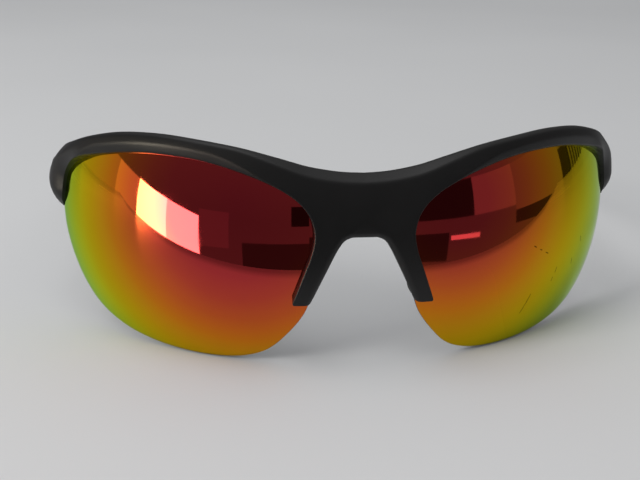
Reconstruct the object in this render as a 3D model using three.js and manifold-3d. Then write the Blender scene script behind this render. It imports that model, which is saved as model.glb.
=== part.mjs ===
// Wraparound sport sunglasses: a half-rim front with two mirror lenses, rubber nose pads,
// folding temples on steel leaf hinges, and rubber ear grips.
//
// Millimetres, +Z up. X points to the viewer's right of the front, the front faces -Y.
// The object stands open on a table: the lens bottoms and the temple tips touch Z = 0.
// The right side (+X) is modelled and mirrored to the left.

import * as THREE from 'three';
import { mergeVertices } from 'three/addons/utils/BufferGeometryUtils.js';
import { TessellateModifier } from 'three/addons/modifiers/TessellateModifier.js';
import Module from 'manifold-3d';

const wasm = await Module();
wasm.setup();

// ---------- driving dimensions ----------

const CLEAR = 0.3;              // gap kept between separate pieces

// Each lens is part of a ball. The two ball centres stand at X = +-LENS_CENTRE.x.
const LENS_RADIUS = 60;
const LENS_THICKNESS = 2;
const LENS_CENTRE = new THREE.Vector3(12, 60, 23.6);
const LENS_MIDDLE = new THREE.Vector2(38, 24);          // X, Z near the middle of its outline
const LENS_HALF_HEIGHT = 24;

// The front's outer face is a wider ball with the same centre, with a straight bridge between.
const FRONT_PROUD = 2;          // how far the front stands proud of the lens
const FRONT_RADIUS = LENS_RADIUS + FRONT_PROUD;
const FRONT_DEPTH = 5.2;        // front face to back face
const FRONT_EDGE = 0.9;         // rounding of the front's edges
const FRONT_FACET = 8;          // longest edge of the facets that bend round the wrap
const BRIDGE_TOP = 44.5;
const GAP_TOP = 31;
const GAP_TOP_HALF = 2.6;

// Hinge: vertical axis on the inner side of the joint between lug and temple.
const HINGE = { x: 64.3, y: 48.3, low: 27.4, high: 34.8, barrel: 1.5, pin: 0.7 };
const KNUCKLE_LOW = 29.7;       // top of the lower front barrel
const KNUCKLE_HIGH = 32.5;      // bottom of the upper front barrel
const KNUCKLE_ROOM = 0.4;       // between a barrel and the notch in the other leaf's plate
const LEAF_THICKNESS = 1.2;
const LEAF_FRONT_Y = 40.6;      // where the front leaf's plate begins
const LEAF_INNER_X = 64.7;      // the leaves' side that faces the head
const LEAF_CORNER = 1;          // chamfer at the corners of both leaves
const TEMPLE_LEAF = { low: 28.4, high: 32.8, end: 58.4 };
const HINGE_SCREW = { head: 1.35, headHeight: 0.8, chamfer: 0.3, point: 0.3 };
const LEAF_SCREW = { shank: 0.55, head: 1.1, headHeight: 0.6, chamfer: 0.2, length: 3.4, point: 0.4 };
const SCREW_SLOT = { width: 0.4, depth: 0.3 };
const SCREW_HOLE_DEPTH = 2.8;
const FRONT_SCREWS = [[43.4, 29.1], [43.4, 33.1]];      // Y, Z of each leaf screw
const TEMPLE_SCREWS = [[52.8, 30.6], [56.2, 30.6]];

const LUG_INNER_X = 66.2;       // the seat of the front leaf
const SEAT_MARGIN = 0.6;        // the seat is this much taller than the leaf at each end
const LUG_END_Y = 47;           // the lug's rear face
const TEMPLE_START_Y = 47.4;    // the temple's front face

// ---------- outlines, as seen from the front (X, Z) ----------

// Top edge of the front from the middle of the bridge to the lug, then down round the lug.
const TOP_EDGE = [
  [0, BRIDGE_TOP], [5, 44.8], [11, 45.8], [18, 47.6], [26, 49.3], [35, 50.3], [43, 50.5],
  [51, 49.6], [57.5, 47.7], [62.5, 45.2], [65.8, 43.4], [68.3, 41.2], [69.9, 38.2], [70.2, 34.4],
  [70.4, 31], [70.2, 27.2],
];
const LUG_POINT_DROP = 0.8;     // the lug's point is a half oval, this far below its two edges
// The front's edge on the lens, from the lug's point over the lens and down the nose arm.
const LENS_EDGE = [
  [68.9, 27.2], [68.4, 29.2], [67.9, 31.2], [67.6, 33], [66.9, 35.6], [65.4, 38.2],
  [63, 40.7], [59, 43], [50.5, 45.6], [42, 46.5], [33, 46], [24, 43.8], [16.6, 40.6], [12.3, 36.8],
  [10.7, 32.4], [11.2, 28.2], [12.8, 23.6], [15.4, 16.2],
];
// The nose arm's free side, from its lower end up to the bridge.
const NOSE_EDGE = [[11.2, 16.1], [9.4, 20.2], [7.6, 24.2], [5.9, 27.8], [4.3, 30.2], [GAP_TOP_HALF, GAP_TOP]];

// The lens from its hidden top inner corner, along the brow, down the outer side and back.
const LENS_OUTLINE = [
  [9.2, 31], [9.9, 36.6], [14.2, 41.9], [22.8, 45.4], [32.8, 47.6], [43, 48.1], [51.5, 47.2],
  [58, 45.1], [62.3, 42.3], [65, 38.6], [66.5, 34], [66.9, 29], [66.6, 23], [65.7, 18.6],
  [64.4, 14.6], [62.3, 10], [58.8, 5.4], [53.4, 2.3], [46.6, 0.7], [39, 0], [31, 0], [25, 0.9],
  [20, 3.3], [15.6, 8.2], [12.2, 13.6], [10.8, 19], [9.7, 25],
];

// Corner radius of the lug, temple and grip sections, as a share of their height and width.
const SECTION_CORNER = 0.36;

// ---------- lug, from inside the brow back to the hinge joint ----------

const LUG_PATH = new THREE.CatmullRomCurve3([
  new THREE.Vector3(66.8, 36.2, 36),
  new THREE.Vector3(68.2, 41, 33.4),
  new THREE.Vector3(68.9, LUG_END_Y, 31),
]);
const LUG_HEIGHTS = [8.4, 11.8, 11.4];
const LUG_WIDTHS = [3.2, 4.4, 5];

// ---------- temple, from the hinge joint to the tip ----------

const TEMPLE_PATH = new THREE.CatmullRomCurve3([
  new THREE.Vector3(68.9, TEMPLE_START_Y, 30.9),
  new THREE.Vector3(69.5, 62, 28.8),
  new THREE.Vector3(69.6, 80, 25.2),
  new THREE.Vector3(69.1, 98, 20.6),
  new THREE.Vector3(68.1, 114, 15.6),
  new THREE.Vector3(66.7, 130, 9.8),
  new THREE.Vector3(65.2, 145, 4.4),
  new THREE.Vector3(64.6, 151, 2.8),
]);
const TEMPLE_HEIGHTS = [11.2, 8.6, 7.2, 6.8, 7, 7.4, 7.2, 6.8];
const TEMPLE_WIDTHS = [5, 4, 3.5, 3.3, 4.2, 5, 4.8, 4.2];
const GRIP_START = 0.55;        // share of the path where the ear grip begins
const GRIP_GAP = 0.004;         // share of the path left open between grip and temple
const GRIP_ROUND = 0.05;        // share of the path over which the grip's end closes
const GRIP_CLOSING = 0.8;       // how far it closes, as a share of its section's area
const TANG_ROOT = 0.03;         // share of the path that the tang runs inside the temple
const TANG_END = 0.9;
const TANG_HEIGHT = 3.2;
const TANG_WIDTH = 1.7;

// ---------- nose pad and the rib that holds it ----------

const PAD_PATH = new THREE.CatmullRomCurve3([
  new THREE.Vector3(10.2, 6.9, 26.5),
  new THREE.Vector3(12.2, 7.2, 20.5),
  new THREE.Vector3(13.9, 7.6, 13.6),
]);
const PAD_WIDTH = 3.8;
const PAD_DEPTH = 6.4;
const PAD_CORNER = 0.42;        // corner radius, as a share of the smaller side
const RIB_WIDTH = 1.2;
const RIB_DEPTH = 5;
const RIB_FORWARD = 1.7;        // the rib reaches this much further forward than the pad's middle
const RIB_MARGIN = 0.16;        // share of the pad's length left clear at each end of the rib

// ---------- materials ----------

function material(color, roughness, metalness) {
  return new THREE.MeshStandardMaterial({ color, roughness, metalness });
}
const FRAME_BLACK = material(0x232427, 0.5, 0);
const RUBBER = material(0x1a1a1b, 0.85, 0);
const MIRROR = material(0xe0561c, 0.08, 0.9);
const STEEL = material(0xb9bcc0, 0.3, 1);

// ---------- solids ----------

function solid(geometry) {
  const plain = geometry.clone();
  plain.deleteAttribute('normal');
  plain.deleteAttribute('uv');
  const merged = mergeVertices(plain, 1e-4);
  return new wasm.Manifold(new wasm.Mesh({
    numProp: 3,
    vertProperties: new Float32Array(merged.attributes.position.array),
    triVerts: new Uint32Array(merged.index.array),
  }));
}

function geometryOf(body) {
  const mesh = body.getMesh();
  const geometry = new THREE.BufferGeometry();
  geometry.setAttribute('position', new THREE.BufferAttribute(mesh.vertProperties, 3));
  geometry.setIndex(new THREE.BufferAttribute(mesh.triVerts, 1));
  geometry.computeVertexNormals();
  return geometry;
}

// Moves every vertex of a geometry to place(x, y, z).
function warp(geometry, place) {
  const position = geometry.attributes.position;
  for (let i = 0; i < position.count; i += 1) {
    const moved = place(position.getX(i), position.getY(i), position.getZ(i));
    position.setXYZ(i, moved.x, moved.y, moved.z);
  }
  return geometry;
}

// The same solid on the other side of X = 0, with its faces turned to point out again.
function mirrored(geometry) {
  const flipped = warp(geometry.clone(), (x, y, z) => new THREE.Vector3(-x, y, z));
  const index = flipped.index;
  for (let i = 0; i < index.count; i += 3) {
    const second = index.getX(i + 1);
    index.setX(i + 1, index.getX(i + 2));
    index.setX(i + 2, second);
  }
  flipped.computeVertexNormals();
  return flipped;
}

function roundedRectangle(width, height, radius, segments) {
  const points = [];
  const corners = [[1, 1, 0], [-1, 1, 1], [-1, -1, 2], [1, -1, 3]];
  for (const [sx, sy, quarter] of corners) {
    for (let i = 0; i <= segments; i += 1) {
      const angle = (quarter + i / segments) * Math.PI / 2;
      points.push(new THREE.Vector2(
        sx * (width / 2 - radius) + radius * Math.cos(angle),
        sy * (height / 2 - radius) + radius * Math.sin(angle),
      ));
    }
  }
  return new THREE.Shape(points);
}

// A section carried from t = 0 to t = 1; place(u, v, t) gives each section point its position.
function sweep(section, steps, place) {
  const geometry = new THREE.ExtrudeGeometry(section, { depth: 1, steps, bevelEnabled: false });
  return solid(warp(geometry, place));
}

// Sweeps a rounded upright section along part of a path; size(t) gives its height and width.
function alongPath(path, from, to, steps, size) {
  return sweep(roundedRectangle(1, 1, SECTION_CORNER, 2), steps, (u, v, share) => {
    const t = THREE.MathUtils.lerp(from, to, share);
    const point = path.getPoint(t);
    const tangent = path.getTangent(t);
    const across = new THREE.Vector3(tangent.y, -tangent.x, 0).normalize();
    const [height, width] = size(t);
    return point.addScaledVector(across, v * width).add(new THREE.Vector3(0, 0, u * height));
  });
}

// A side-view outline (Y, Z) extruded along X from x0 to x1.
function sidePlate(outline, x0, x1) {
  const geometry = new THREE.ExtrudeGeometry(outline, { depth: x1 - x0, bevelEnabled: false });
  return warp(geometry, (y, z, x) => new THREE.Vector3(x + x0, y, z));
}

function outlineOf(points) {
  return new THREE.Shape(points.map(([a, b]) => new THREE.Vector2(a, b)));
}

// A round bar along Z.
function post(x, y, low, high, radius, sides = 20) {
  const geometry = new THREE.CylinderGeometry(radius, radius, high - low, sides);
  geometry.rotateX(Math.PI / 2);
  geometry.translate(x, y, (low + high) / 2);
  return solid(geometry);
}

// A round bar along X.
function crossBar(y, z, x0, x1, radius, sides = 12) {
  const geometry = new THREE.CylinderGeometry(radius, radius, x1 - x0, sides);
  geometry.rotateZ(Math.PI / 2);
  geometry.translate((x0 + x1) / 2, y, z);
  return solid(geometry);
}

// Value of a list of evenly spaced numbers at share t, joined smoothly.
function along(values, t) {
  const spot = t * (values.length - 1);
  const i = Math.min(Math.floor(spot), values.length - 2);
  return THREE.MathUtils.lerp(values[i], values[i + 1], THREE.MathUtils.smoothstep(spot - i, 0, 1));
}

// ---------- the wrapped front surface ----------

// Front-view point to the unrolled front surface: arc length along the wrap, and height.
function unroll([x, z]) {
  if (x <= LENS_CENTRE.x) return new THREE.Vector2(x, z);
  const levelRadius = Math.sqrt(FRONT_RADIUS ** 2 - (z - LENS_CENTRE.z) ** 2);
  const angle = Math.asin((x - LENS_CENTRE.x) / levelRadius);
  return new THREE.Vector2(LENS_CENTRE.x + FRONT_RADIUS * angle, z);
}

// Unrolled point and depth below the front face to the place in space, on either side.
function wrap(arc, z, depth) {
  const reach = Math.abs(arc);
  const angle = Math.max(0, reach - LENS_CENTRE.x) / FRONT_RADIUS;
  const level = Math.sqrt(FRONT_RADIUS ** 2 - (z - LENS_CENTRE.z) ** 2);
  const shrink = 1 - depth / FRONT_RADIUS;
  const x = Math.min(reach, LENS_CENTRE.x) + level * Math.sin(angle) * shrink;
  return new THREE.Vector3(
    Math.sign(arc) * x,
    LENS_CENTRE.y - level * Math.cos(angle) * shrink,
    LENS_CENTRE.z + (z - LENS_CENTRE.z) * shrink,
  );
}

function smooth(points, divisions) {
  return new THREE.SplineCurve(points.map(unroll)).getPoints(divisions);
}

// The round end of the lug, between the last point of the top edge and the first on the lens.
function lugPoint() {
  const outer = unroll(TOP_EDGE.at(-1));
  const inner = unroll(LENS_EDGE[0]);
  const middle = outer.clone().add(inner).multiplyScalar(0.5);
  const half = outer.distanceTo(inner) / 2;
  const arc = new THREE.EllipseCurve(middle.x, middle.y, half, LUG_POINT_DROP, 0, Math.PI, true);
  return arc.getPoints(8).slice(1, -1);
}

function frontOutline() {
  const right = [
    ...smooth(TOP_EDGE, 28),
    ...lugPoint(),
    ...smooth(LENS_EDGE, 28),
    ...smooth(NOSE_EDGE, 7),
  ];
  const left = right.slice(1).reverse().map((p) => new THREE.Vector2(-p.x, p.y));
  return new THREE.Shape([...right, ...left].reverse());
}

// ---------- lens ----------

// A cone from the ball's centre through the lens outline, from inside the ball to outside it.
function lensCone(grow) {
  const inner = 0.5;
  const outer = 1.6;
  const scale = 1 + grow / LENS_HALF_HEIGHT;
  const outline = new THREE.SplineCurve(
    [...LENS_OUTLINE, LENS_OUTLINE[0]].map(([x, z]) => new THREE.Vector2(x, z)),
  ).getPoints(52).slice(1);
  const grown = outline.map((p) => p.clone().sub(LENS_MIDDLE).multiplyScalar(scale).add(LENS_MIDDLE));
  const geometry = new THREE.ExtrudeGeometry(new THREE.Shape(grown), { depth: 1, bevelEnabled: false });
  return solid(warp(geometry, (x, z, t) => {
    const direction = new THREE.Vector3(x - LENS_CENTRE.x, 0, z - LENS_CENTRE.z);
    direction.y = -Math.sqrt(Math.max(1, LENS_RADIUS ** 2 - direction.lengthSq()));
    return direction.multiplyScalar(t === 1 ? outer : inner).add(LENS_CENTRE);
  }));
}

function ball(radius) {
  const geometry = new THREE.SphereGeometry(radius, 48, 32);
  geometry.rotateX(Math.PI / 2);
  geometry.translate(LENS_CENTRE.x, LENS_CENTRE.y, LENS_CENTRE.z);
  return solid(geometry);
}

function lensBody(grow) {
  const shell = ball(LENS_RADIUS + grow).subtract(ball(LENS_RADIUS - LENS_THICKNESS - grow));
  return shell.intersect(lensCone(grow));
}

// ---------- front ----------

function frontBlank() {
  const geometry = new THREE.ExtrudeGeometry(frontOutline(), {
    depth: FRONT_DEPTH - 2 * FRONT_EDGE,
    bevelThickness: FRONT_EDGE,
    bevelSize: FRONT_EDGE,
    bevelOffset: -FRONT_EDGE,
    bevelSegments: 1,
  });
  const fine = new TessellateModifier(FRONT_FACET, 24).modify(geometry);
  const back = FRONT_DEPTH - FRONT_EDGE;
  return solid(warp(fine, (arc, z, height) => wrap(arc, z, back - height)));
}

function lug() {
  return alongPath(LUG_PATH, 0, 1, 6, (t) => [along(LUG_HEIGHTS, t), along(LUG_WIDTHS, t)]);
}

function alongPad(width, depth, forward, from, to) {
  const corner = Math.min(width, depth) * PAD_CORNER;
  return sweep(roundedRectangle(width, depth, corner, 2), 5, (u, v, t) => {
    const point = PAD_PATH.getPoint(THREE.MathUtils.lerp(from, to, t));
    return new THREE.Vector3(point.x + u, point.y - forward - v, point.z);
  });
}

function noseRib(grow) {
  const width = RIB_WIDTH + 2 * grow;
  const depth = RIB_DEPTH + 2 * grow;
  return alongPad(width, depth, RIB_FORWARD, RIB_MARGIN, 1 - RIB_MARGIN);
}

// The two blind holes that take a leaf's screws.
function screwHoles(screws) {
  const bore = LEAF_SCREW.shank + CLEAR;
  const deep = LUG_INNER_X + SCREW_HOLE_DEPTH;
  const [first, second] = screws.map(([y, z]) => crossBar(y, z, LUG_INNER_X - 1, deep, bore));
  return first.add(second);
}

// The flat seat on the lug's inner side that takes the hinge leaf.
function leafSeat() {
  const low = new THREE.Vector3(LENS_RADIUS, LEAF_FRONT_Y - CLEAR, HINGE.low - SEAT_MARGIN);
  const high = new THREE.Vector3(LUG_INNER_X, LUG_END_Y + 2, HINGE.high + SEAT_MARGIN);
  const size = high.clone().sub(low);
  const geometry = new THREE.BoxGeometry(size.x, size.y, size.z);
  const middle = low.add(high).multiplyScalar(0.5);
  geometry.translate(middle.x, middle.y, middle.z);
  return solid(geometry);
}

function mirroredSolid(body) {
  return solid(mirrored(geometryOf(body)));
}

function frontFrame() {
  const added = [lug(), noseRib(0)];
  const cut = [lensBody(CLEAR), leafSeat(), screwHoles(FRONT_SCREWS)];
  let body = frontBlank();
  for (const piece of added) body = body.add(piece).add(mirroredSolid(piece));
  for (const piece of cut) body = body.subtract(piece).subtract(mirroredSolid(piece));
  return body;
}

// ---------- rubber nose pad ----------

function nosePad() {
  return alongPad(PAD_WIDTH, PAD_DEPTH, 0, 0, 1).subtract(noseRib(CLEAR));
}

// ---------- temple and ear grip ----------

function templeSize(t) {
  return [along(TEMPLE_HEIGHTS, t), along(TEMPLE_WIDTHS, t)];
}

// The grip's last millimetres close in an oval.
function gripSize(t) {
  const end = THREE.MathUtils.clamp((t - 1) / GRIP_ROUND + 1, 0, 1);
  const close = Math.sqrt(1 - GRIP_CLOSING * end * end);
  return templeSize(t).map((size) => size * close);
}

function tang(grow, to) {
  const size = [TANG_HEIGHT + 2 * grow, TANG_WIDTH + 2 * grow];
  return alongPath(TEMPLE_PATH, GRIP_START - TANG_ROOT, to, 8, () => size);
}

function temple() {
  return alongPath(TEMPLE_PATH, 0, GRIP_START, 14, templeSize)
    .add(tang(0, TANG_END))
    .subtract(screwHoles(TEMPLE_SCREWS));
}

function templeGrip() {
  const body = alongPath(TEMPLE_PATH, GRIP_START + GRIP_GAP, 1, 16, gripSize);
  return body.subtract(tang(CLEAR, TANG_END + GRIP_GAP));
}

// ---------- hinge ----------

function leafPlate(points, screws) {
  const plate = solid(sidePlate(outlineOf(points), LEAF_INNER_X, LEAF_INNER_X + LEAF_THICKNESS));
  const bore = LEAF_SCREW.shank + CLEAR;
  return screws.reduce(
    (body, [y, z]) => body.subtract(crossBar(y, z, LEAF_INNER_X - 1, LEAF_INNER_X + 2, bore)),
    plate,
  );
}

function hingeBore() {
  return post(HINGE.x, HINGE.y, HINGE.low - 1, HINGE.high + 1, HINGE.pin + CLEAR);
}

function barrel(low, high) {
  return post(HINGE.x, HINGE.y, low, high, HINGE.barrel);
}

function frontLeaf() {
  const notch = HINGE.y - HINGE.barrel - KNUCKLE_ROOM;
  const corner = LEAF_FRONT_Y + LEAF_CORNER;
  const plate = leafPlate([
    [LEAF_FRONT_Y, HINGE.low + LEAF_CORNER], [corner, HINGE.low], [HINGE.y, HINGE.low],
    [HINGE.y, KNUCKLE_LOW], [notch, KNUCKLE_LOW], [notch, KNUCKLE_HIGH], [HINGE.y, KNUCKLE_HIGH],
    [HINGE.y, HINGE.high], [corner, HINGE.high], [LEAF_FRONT_Y, HINGE.high - LEAF_CORNER],
  ], FRONT_SCREWS);
  return plate
    .add(barrel(HINGE.low, KNUCKLE_LOW))
    .add(barrel(KNUCKLE_HIGH, HINGE.high))
    .subtract(hingeBore());
}

function templeLeaf() {
  const low = KNUCKLE_LOW + CLEAR;
  const high = KNUCKLE_HIGH - CLEAR;
  const start = HINGE.y + HINGE.barrel + KNUCKLE_ROOM;
  const corner = TEMPLE_LEAF.end - LEAF_CORNER;
  const plate = leafPlate([
    [HINGE.y, low], [start, low], [start, TEMPLE_LEAF.low], [corner, TEMPLE_LEAF.low],
    [TEMPLE_LEAF.end, TEMPLE_LEAF.low + LEAF_CORNER], [TEMPLE_LEAF.end, TEMPLE_LEAF.high - LEAF_CORNER],
    [corner, TEMPLE_LEAF.high], [start, TEMPLE_LEAF.high], [start, high], [HINGE.y, high],
  ], TEMPLE_SCREWS);
  return plate.add(barrel(low, high)).subtract(hingeBore());
}

function hingeScrew() {
  const headLow = HINGE.high + CLEAR;
  const headHigh = headLow + HINGE_SCREW.headHeight;
  const pinLow = HINGE.low - HINGE_SCREW.point;
  const rim = headHigh - HINGE_SCREW.chamfer;
  const profile = [
    [0, pinLow], [HINGE.pin, pinLow], [HINGE.pin, headLow], [HINGE_SCREW.head, headLow],
    [HINGE_SCREW.head, rim], [HINGE_SCREW.head - HINGE_SCREW.chamfer, headHigh], [0, headHigh],
  ];
  const geometry = new THREE.LatheGeometry(profile.map(([r, z]) => new THREE.Vector2(r, z)), 20);
  geometry.rotateX(Math.PI / 2);
  geometry.translate(HINGE.x, HINGE.y, 0);
  const slot = new THREE.BoxGeometry(SCREW_SLOT.width, 3 * HINGE_SCREW.head, 2 * SCREW_SLOT.depth);
  slot.translate(HINGE.x, HINGE.y, headHigh);
  return solid(geometry).subtract(solid(slot));
}

// A leaf screw lies along X, its head against the leaf's inner side.
function leafScrew(y, z) {
  const { shank, head, headHeight, chamfer, length, point } = LEAF_SCREW;
  const profile = [
    [0, 0], [head - chamfer, 0], [head, chamfer], [head, headHeight], [shank, headHeight],
    [shank, length], [0, length + point],
  ];
  const geometry = new THREE.LatheGeometry(profile.map(([r, h]) => new THREE.Vector2(r, h)), 12);
  geometry.rotateZ(-Math.PI / 2);
  const headX = LEAF_INNER_X - headHeight - CLEAR;
  geometry.translate(headX, y, z);
  const slot = new THREE.BoxGeometry(2 * SCREW_SLOT.depth, SCREW_SLOT.width, 3 * head);
  slot.translate(headX, y, z);
  return solid(geometry).subtract(solid(slot));
}

// ---------- assembly ----------

const pieces = new THREE.Group();

function addPiece(name, body, finish) {
  const mesh = new THREE.Mesh(geometryOf(body), finish);
  mesh.name = name;
  pieces.add(mesh);
}

function addPair(name, body, finish, ending = '') {
  addPiece(`${name}_right${ending}`, body, finish);
  addPiece(`${name}_left${ending}`, mirroredSolid(body), finish);
}

addPiece('front_frame', frontFrame(), FRAME_BLACK);
addPair('lens', lensBody(0), MIRROR);
addPair('nose_pad', nosePad(), RUBBER);
addPair('temple', temple(), FRAME_BLACK);
addPair('temple_grip', templeGrip(), RUBBER);
addPair('hinge_front_leaf', frontLeaf(), STEEL);
addPair('hinge_temple_leaf', templeLeaf(), STEEL);
addPair('hinge_screw', hingeScrew(), STEEL);
FRONT_SCREWS.forEach(([y, z], i) => addPair('front_leaf_screw', leafScrew(y, z), STEEL, `_${i + 1}`));
TEMPLE_SCREWS.forEach(([y, z], i) => addPair('temple_leaf_screw', leafScrew(y, z), STEEL, `_${i + 1}`));

// The origin is on the table, under the middle of the whole object.
const bounds = new THREE.Box3().setFromObject(pieces);
pieces.position.set(0, -(bounds.min.y + bounds.max.y) / 2, -bounds.min.z);
const group = new THREE.Group();
group.add(pieces);

export default group;
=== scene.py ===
"""Wraparound sport sunglasses on a pale table: the looks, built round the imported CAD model.

Sizes are in millimetres, in the frame that the part's source designs in; place() turns them into
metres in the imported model's frame. The right side (+X) is modelled and mirrored to the left.
"""

import math

import bmesh
import bpy
import numpy as np
from mathutils import Matrix, Vector
from mathutils.geometry import delaunay_2d_cdt


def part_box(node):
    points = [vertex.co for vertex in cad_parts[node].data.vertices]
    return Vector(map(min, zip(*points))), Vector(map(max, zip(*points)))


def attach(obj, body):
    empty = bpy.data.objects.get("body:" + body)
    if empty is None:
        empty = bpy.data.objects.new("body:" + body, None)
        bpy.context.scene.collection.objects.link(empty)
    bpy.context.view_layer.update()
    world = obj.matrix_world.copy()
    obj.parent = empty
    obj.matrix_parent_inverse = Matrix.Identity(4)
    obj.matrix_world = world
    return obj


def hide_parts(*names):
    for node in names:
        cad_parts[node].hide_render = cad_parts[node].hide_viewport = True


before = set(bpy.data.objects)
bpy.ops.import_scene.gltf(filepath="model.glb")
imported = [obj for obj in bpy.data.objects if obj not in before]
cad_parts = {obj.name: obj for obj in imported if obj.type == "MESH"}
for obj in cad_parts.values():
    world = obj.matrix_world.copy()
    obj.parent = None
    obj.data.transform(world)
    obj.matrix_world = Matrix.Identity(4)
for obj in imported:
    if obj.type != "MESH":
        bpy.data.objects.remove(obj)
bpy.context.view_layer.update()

# ---------- driving dimensions, millimetres ----------

MM = 0.001

HINGE_X = 64.3
HINGE_Y = 48.3
HINGE_SCREW_LOW = 27.1

# The lenses are patches of two balls, centred at X = +-BALL_X.
BALL_X = 12.0
BALL_Y = 60.0
BALL_Z = 23.6
LENS_RADIUS = 60.0
LENS_THICKNESS = 2.0
LENS_EDGE_ROUND = 0.22
LENS_MIDDLE = (38.0, 24.0)

FRONT_RADIUS = 62.0
FRONT_DEPTH = 5.2
BRIDGE_TOP = 44.5

LUG_END_Y = 47.0
LUG_INNER_X = 66.2
# The lug swells out of the wrap and then turns back in: (height, from, to), in degrees of wrap.
LUG_SWELL = (1.0, 42.0, 68.0)
LUG_TUCK = (-1.6, 66.0, 80.0)
LUG_CROWN = 2.4                 # how far the lug's face falls away towards its edges
LENS_STEP = 0.3                 # the front stands at least this proud of the lens beside it
LUG_THICKER = 1.2               # the lug's back lies this much deeper than the rest
SEAT_START_Y = 40.3
SEAT_LOW = 26.8
SEAT_HIGH = 35.4

# Front-view outlines (X, Z), close to those of the part's source.
TOP_EDGE = [
    (0, BRIDGE_TOP), (5, 44.8), (11, 45.8), (18, 47.6), (26, 49.3), (35, 50.3), (43, 50.5),
    (51, 49.5), (57.5, 47.3), (62.5, 44.6),
]
LENS_EDGE = [
    (68.9, 27.2), (68.4, 29.2), (67.9, 31.2), (67.6, 33), (66.9, 35.6), (65.4, 38.2), (63, 40.7),
    (59, 43), (50.5, 45.6), (42, 46.5), (33, 46), (24, 43.8), (16.6, 40.6), (12.3, 36.8),
    (10.7, 32.4), (11.2, 28.2), (12.8, 23.6), (15.4, 16.2),
]
NOSE_EDGE = [(11.2, 16.1), (9.4, 20.2), (7.6, 24.2), (5.9, 27.8), (4.3, 30.2), (2.6, 31)]
LENS_OUTLINE = [
    (9.2, 31), (9.9, 36.6), (14.2, 41.9), (22.8, 45.4), (32.8, 47.6), (43, 48.1), (51.5, 47.2),
    (58, 45.1), (62.3, 42.3), (65, 38.6), (66.5, 34), (66.9, 29), (66.6, 23), (65.7, 18.6),
    (64.4, 14.6), (62.3, 10), (58.8, 5.4), (53.4, 2.3), (46.6, 0.7), (39, 0), (31, 0), (25, 0.9),
    (20, 3.3), (15.6, 8.2), (12.2, 13.6), (10.8, 19), (9.7, 25),
]
# Side-view edges of the lug (Y, Z), from the brow back past the hinge joint and round to the lens.
LUG_TOP = [(35.6, 42.7), (39.5, 41), (43.2, 39), (47, 37), (51, 35.4)]
LUG_LOW = [(51, 24.8), (47, 25.2), (43.5, 26), (41, 26.6), (38.5, 26.8), (36.8, 26.8), (35.7, 27.2)]

# The right temple from the hinge joint to the tip, with its height and width at each point.
TEMPLE_PATH = [
    (68.9, 47.4, 30.9), (69.5, 62, 28.8), (69.6, 80, 25.2), (69.1, 98, 20.6), (68.1, 114, 15.6),
    (66.7, 130, 9.8), (65.2, 145, 4.4), (64.6, 151, 2.8),
]
TEMPLE_HEIGHTS = [11.4, 8.6, 7.2, 6.8, 7, 7.4, 7.2, 6.8]
TEMPLE_WIDTHS = [5, 4, 3.5, 3.3, 4.2, 5, 4.8, 4.2]
GRIP_START = 0.55               # share of the path where the rubber ear grip begins
BUTT_GAP = 0.0006               # share of the path between the temple's end and the grip
TANG_HEIGHT = 3.2
TANG_WIDTH = 1.7
# The seat of the hinge leaf on the temple's inner side, as two corners of a block.
LEAF_SEAT = ((65.95, 50.4, 27.9), (68.4, 59.2, 33.3))
LEAF_SEAT_ROUND = 0.5

PAD_PATH = [(10.2, 6.9, 26.5), (12.2, 7.2, 20.5), (13.9, 7.6, 13.6)]
PAD_WIDTH = 3.8
PAD_DEPTH = 6.4
PAD_END = 0.16                  # share of the pad's length that each round end takes
PAD_GROOVES = 7
PAD_GROOVE_DEPTH = 0.14
RIB_WIDTH = 1.2
RIB_DEPTH = 5.0
RIB_FORWARD = 1.7
RIB_MARGIN = 0.16               # share of the pad's length left clear at each end of the rib

# Camera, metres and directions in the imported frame, rounded from a program's fit to the lens edges
# in the photo.
CAMERA_PLACE = Vector((-0.0299, -0.2479, 0.0977))
CAMERA_FORWARD = Vector((0.1097, 0.9269, -0.3590))
CAMERA_UP = Vector((0.0273, 0.3582, 0.9332))
CAMERA_LENS = 50.6

screw_low, screw_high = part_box("hinge_screw_right")
SHIFT = np.array([
    (screw_low.x + screw_high.x) / 2 - HINGE_X * MM,
    (screw_low.y + screw_high.y) / 2 - HINGE_Y * MM,
    screw_low.z - HINGE_SCREW_LOW * MM,
])


def place(points):
    """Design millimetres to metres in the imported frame."""
    return np.asarray(points, float) * MM + SHIFT


# ---------- curves ----------

def hermite(start, end, leave, arrive, t):
    """The cubic from start to end with the given slopes."""
    return (
        (2 * start - 2 * end + leave + arrive) * t ** 3
        + (3 * end - 3 * start - 2 * leave - arrive) * t ** 2
        + leave * t + start
    )


def spline(points, step):
    """A smooth curve through the points, with about one sample every step."""
    knots = np.array(points, float)
    last = len(knots) - 1
    samples = []
    for i in range(last):
        before, start = knots[max(i - 1, 0)], knots[i]
        end, after = knots[i + 1], knots[min(i + 2, last)]
        leave, arrive = (end - before) / 2, (after - start) / 2
        count = max(2, round(float(np.linalg.norm(end - start)) / step))
        samples += [hermite(start, end, leave, arrive, t) for t in np.arange(count) / count]
    samples.append(knots[-1])
    return np.array(samples)


def smoothstep(value, low, high):
    t = np.clip((np.asarray(value, float) - low) / (high - low), 0, 1)
    return t * t * (3 - 2 * t)


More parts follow.
